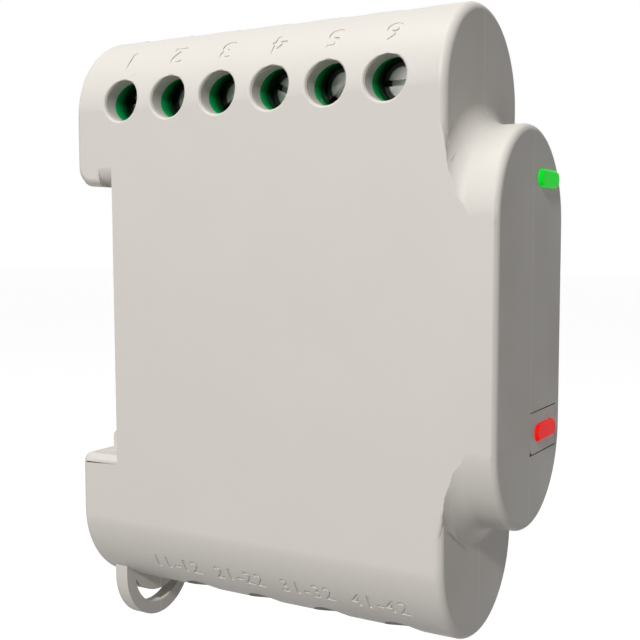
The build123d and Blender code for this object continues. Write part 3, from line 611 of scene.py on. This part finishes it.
def stamp(text, size, centre, slope, along, turned):
    """Adds one number to the cutting tools, lying on a round end at a slope from the level."""
    glyphs = node(engraved, "GeometryNodeStringToCurves",
                  {"align_x": "CENTER", "align_y": "MIDDLE", "font": plain_font},
                  String=text, Size=size, Character_Spacing=FIGURE_SPACING)
    glyphs = node(engraved, "GeometryNodeRealizeInstances", None, glyphs.outputs[0])
    glyphs = node(engraved, "GeometryNodeResampleCurve", {"keep_last_segment": True},
                  glyphs.outputs[0], Count=OUTLINE_POINTS)
    # Each outline grows sideways by the stroke, which thickens the figure evenly.
    way = node(engraved, "ShaderNodeVectorMath", {"operation": "CROSS_PRODUCT"},
               node(engraved, "GeometryNodeInputTangent").outputs[0], (0.0, 0.0, 1.0)).outputs[0]
    glyphs = node(engraved, "GeometryNodeSetPosition", None, glyphs.outputs[0],
                  Offset=scaled(engraved, way, e_in["Stroke"]))
    flat = node(engraved, "GeometryNodeFillCurve", {"mode": "NGONS"}, glyphs.outputs[0])
    flat = node(engraved, "GeometryNodeRealizeInstances", None, flat.outputs[0])
    cap = node(engraved, "GeometryNodeExtrudeMesh", {"mode": "FACES"}, flat.outputs[0],
               Offset_Scale=maths(engraved, "MULTIPLY", e_in["Depth"], 2.0), Individual=False)
    base = node(engraved, "GeometryNodeFlipFaces", None, flat.outputs[0])
    solid = engraved.nodes.new("GeometryNodeJoinGeometry")
    engraved.links.new(cap.outputs[0], solid.inputs[0])
    engraved.links.new(base.outputs[0], solid.inputs[0])
    solid = node(engraved, "GeometryNodeMergeByDistance", None, solid.outputs[0],
                 Distance=FIGURE_WELD)
    out = Vector((-math.cos(slope), 0, math.sin(slope)))
    across = Vector((0, 1, 0)) if turned else Vector((0, -1, 0))
    stand = Matrix((across, out.cross(across), out)).transposed()
    sunk = scaled(engraved, tuple(out), maths(engraved, "SUBTRACT", ROUND_END, e_in["Depth"]))
    foot = node(engraved, "ShaderNodeVectorMath", {"operation": "ADD"}, sunk,
                (0.0, along, centre))
    placed = node(engraved, "GeometryNodeTransform", None, solid.outputs[0],
                  Translation=foot.outputs[0], Rotation=stand.to_euler())
    engraved.links.new(placed.outputs[0], tools.inputs[0])


for number, along in enumerate(POLE_PLACES, 1):
    stamp(str(number), e_in["Hole figure"], TOP_CENTRE, HOLE_SLOPE, along, True)
for number, along in enumerate(SOCKET_PLACES, 1):
    stamp(f"{number}1-{number}2", e_in["Socket figure"], BOTTOM_CENTRE, SOCKET_SLOPE, along, False)
cut = node(engraved, "GeometryNodeMeshBoolean", {"operation": "DIFFERENCE", "solver": "EXACT"},
           Mesh_1=e_in["Body"], Mesh_2=tools.outputs[0])
ended(engraved, cut.outputs[0], e_in["Material"], e_out[0])
left_shell = welded("left_shell_moulding", "left_shell")
softened(left_shell)
made_by(engraved, left_shell, shell_plastic)
shaded(left_shell)
rounded(left_shell)
dress(left_shell, shell_plastic, "housing")
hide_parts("left_shell")

# Hole sleeves.  Each screw hole goes on inwards as a short round tube in the left shell's own
# plastic, moulded with it, which ends where the green seat behind it comes into view.
SLEEVE_IN, SLEEVE_OUT, SLEEVE_STEPS = 0.00256, 0.0027, 64
SLEEVE_TOP, SLEEVE_DEPTH = 0.00038, 0.0021
SLEEVE_PROFILE = ((SLEEVE_IN, SLEEVE_TOP), (SLEEVE_IN, SLEEVE_DEPTH),
                  (SLEEVE_OUT, SLEEVE_DEPTH), (SLEEVE_OUT, SLEEVE_TOP))


def on_sleeve(along, radius, depth, step):
    """Place on a hole's sleeve, at a radius, at a depth under the round end, and so far round."""
    turn = math.tau * step / SLEEVE_STEPS
    z = POLE_HEIGHT + radius * math.sin(turn)
    x = -math.sqrt((ROUND_END - depth) ** 2 - max(z - TOP_CENTRE, 0.0) ** 2)
    return x, along + radius * math.cos(turn), z


for number, along in enumerate(POLE_PLACES, 1):
    form = bmesh.new()
    rings = [[form.verts.new(on_sleeve(along, radius, depth, step)) for step in range(SLEEVE_STEPS)]
             for radius, depth in SLEEVE_PROFILE]
    for one, two in zip(rings, rings[1:] + rings[:1]):
        for step in range(SLEEVE_STEPS):
            after = (step + 1) % SLEEVE_STEPS
            form.faces.new((one[step], one[after], two[after], two[step]))
    bmesh.ops.recalc_face_normals(form, faces=form.faces)
    mesh = bpy.data.meshes.new(f"screw_hole_{number}_sleeve")
    form.to_mesh(mesh)
    form.free()
    sleeve = added(mesh.name, mesh)
    shaded(sleeve)
    dress(sleeve, shell_plastic, "housing")

# Floor.  A plain pale sheet well under the meter, white to the camera and duller to the light that
# it throws back, so the underside keeps its shade.
FLOOR_LEVEL, FLOOR_HALF = -0.1, 3.0
FLOOR_GREY, FLOOR_ROUGH, FLOOR_WHITE = (0.34, 0.34, 0.34, 1), 0.9, 0.86
floor_mesh = bpy.data.meshes.new("floor")
floor_mesh.from_pydata([(x * FLOOR_HALF, y * FLOOR_HALF, FLOOR_LEVEL)
                        for x, y in ((-1, -1), (1, -1), (1, 1), (-1, 1))], [], [(0, 1, 2, 3)])
floor = added("floor", floor_mesh)


def seen_in(tree):
    """1 for what the camera sees, straight, in gloss or through glass, and 0 for other light."""
    rays = node(tree, "ShaderNodeLightPath").outputs
    seen = maths(tree, "MAXIMUM", rays["Is Camera Ray"], rays["Is Glossy Ray"])
    return maths(tree, "MAXIMUM", seen, rays["Is Transmission Ray"])


floor_paint = bpy.data.materials.new("Floor paint")
floor_paint.use_nodes = True
tree = floor_paint.node_tree
shader = tree.nodes["Principled BSDF"]
shader.inputs["Base Color"].default_value = FLOOR_GREY
shader.inputs["Roughness"].default_value = FLOOR_ROUGH
white = node(tree, "ShaderNodeEmission", None, Strength=FLOOR_WHITE)
lit = node(tree, "ShaderNodeAddShader", None, shader.outputs[0], white.outputs[0])
mixed = node(tree, "ShaderNodeMixShader", None, seen_in(tree), shader.outputs[0], lit.outputs[0])
tree.links.new(mixed.outputs[0], tree.nodes["Material Output"].inputs[0])
floor_mesh.materials.append(floor_paint)

# Light.  A small bright key from the screw side and above, a weaker and softer one from overhead,
# and an even dim room, which is white behind the meter.
ROOM_WHITE, ROOM_LIGHT = (1, 1, 1, 1), 0.1
world = bpy.data.worlds.new("Room")
bpy.context.scene.world = world
world.use_nodes = True
tree = world.node_tree
room = tree.nodes["Background"]
room.inputs["Color"].default_value = ROOM_WHITE
room.inputs["Strength"].default_value = ROOM_LIGHT
back = node(tree, "ShaderNodeBackground", None, ROOM_WHITE, 1.0)
mixed = node(tree, "ShaderNodeMixShader", None, seen_in(tree), room.outputs[0], back.outputs[0])
tree.links.new(mixed.outputs[0], tree.nodes["World Output"].inputs[0])
for name, direction, away, width, watts in (
        ("Key light", (-0.834, -0.167, 0.526), 0.7, 0.05, 3.85),
        ("Top light", (-0.19, 0.12, 0.97), 0.5, 0.2, 1.1)):
    lamp = bpy.data.lights.new(name, "AREA")
    lamp.energy = watts
    lamp.size = width
    holder = added(name, lamp)
    towards = Vector(direction).normalized()
    holder.location = towards * away
    holder.rotation_mode = "QUATERNION"
    holder.rotation_quaternion = towards.to_track_quat("Z", "Y")

# Camera.  Stands close to the meter, in front of its screw side and a little above its middle, as
# solved from the photograph's outline.
YAW, PITCH, ROLL = (math.radians(angle) for angle in (30.448, -4.441, -0.054))
CAMERA_PLACE = (-0.112979, -0.090954, 0.010714)
SENSOR, FOCAL_PIXELS, FRAME_PIXELS = 36.0, 1038.05, 640
ahead = Vector((math.cos(YAW) * math.cos(PITCH), math.sin(YAW) * math.cos(PITCH),
                math.sin(PITCH)))
side = ahead.cross(Vector((0, 0, 1))).normalized()
above = side.cross(ahead)
side, above = (side * math.cos(ROLL) + above * math.sin(ROLL),
               above * math.cos(ROLL) - side * math.sin(ROLL))
optics = bpy.data.cameras.new("Camera")
optics.sensor_width = SENSOR
optics.lens = SENSOR * FOCAL_PIXELS / FRAME_PIXELS
optics.clip_start, optics.clip_end = 0.01, 20.0
camera = added("Camera", optics)
camera.matrix_world = (Matrix.Translation(CAMERA_PLACE)
                       @ Matrix((side, above, -ahead)).transposed().to_4x4())
bpy.context.scene.camera = camera
bpy.context.scene.view_settings.view_transform = "Standard"
